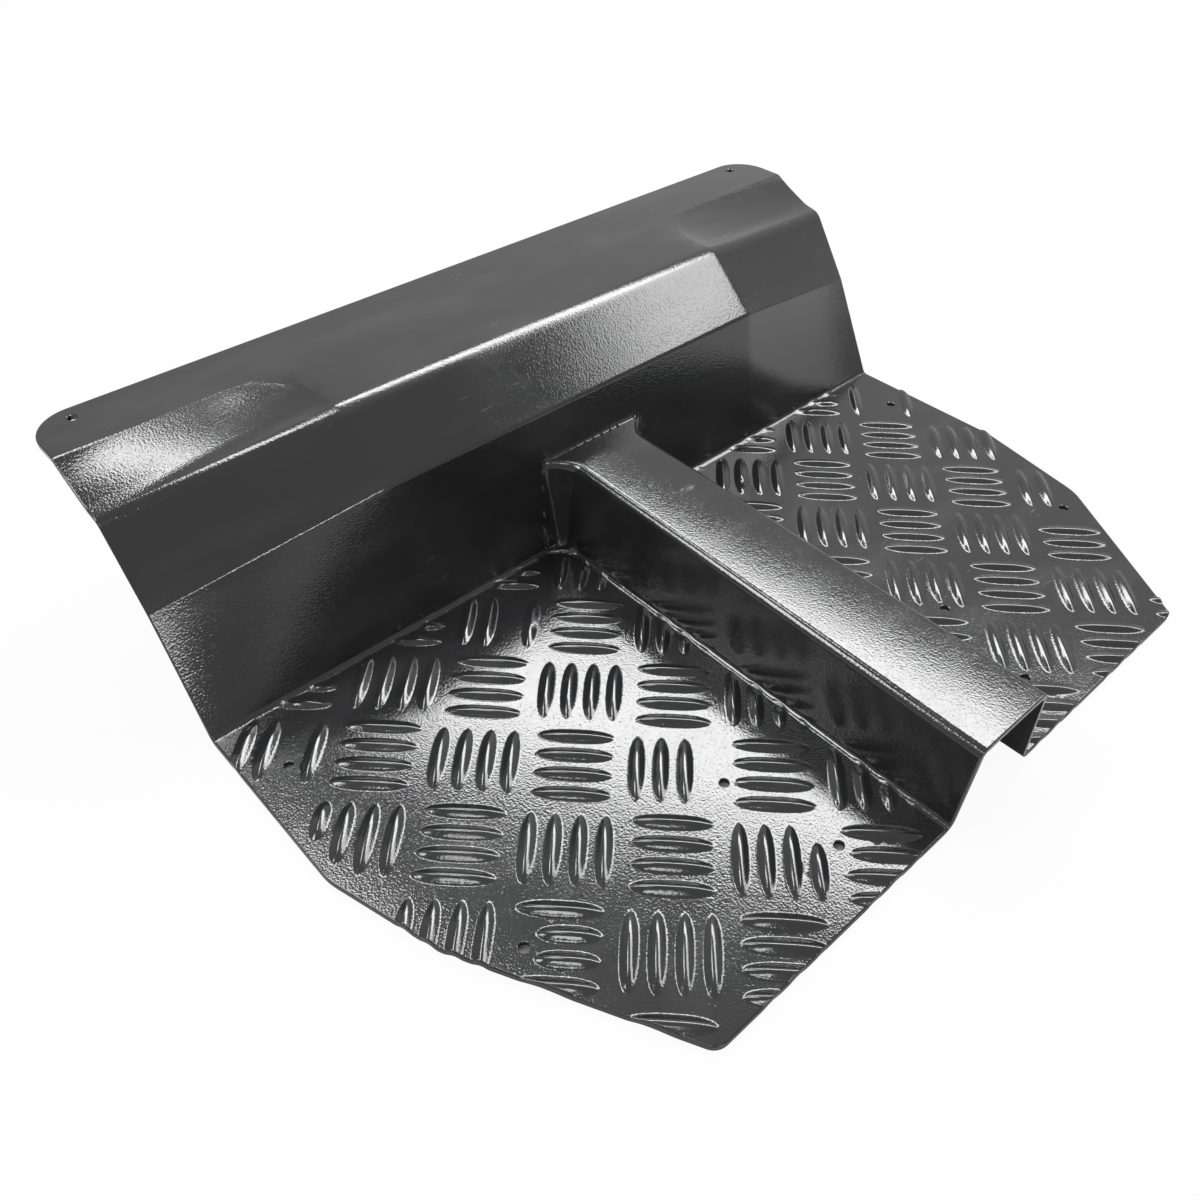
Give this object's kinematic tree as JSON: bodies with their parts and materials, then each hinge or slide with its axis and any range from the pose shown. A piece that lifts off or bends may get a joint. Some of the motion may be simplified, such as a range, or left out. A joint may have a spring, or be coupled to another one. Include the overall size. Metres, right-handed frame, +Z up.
{
  "type": "scooter floor panel",
  "caption": "Formed black plastic floor panel for a scooter: bar-tread footboards either side of a raised centre tunnel, a folded front wall and a drilled top flange.",
  "frame": {"origin": "middle of the panel's box, at the level of the floor's underside", "axes": "+X across the scooter to the rider's right, +Y forward to the flange, +Z up"},
  "size_m": [0.4324, 0.3426, 0.0985],
  "materials": {
    "panel_plastic": "glossy black sheet with a fine grain"
  },
  "bodies": {
    "root": {"floor_panel": "panel_plastic"}
  },
  "joints": []
}
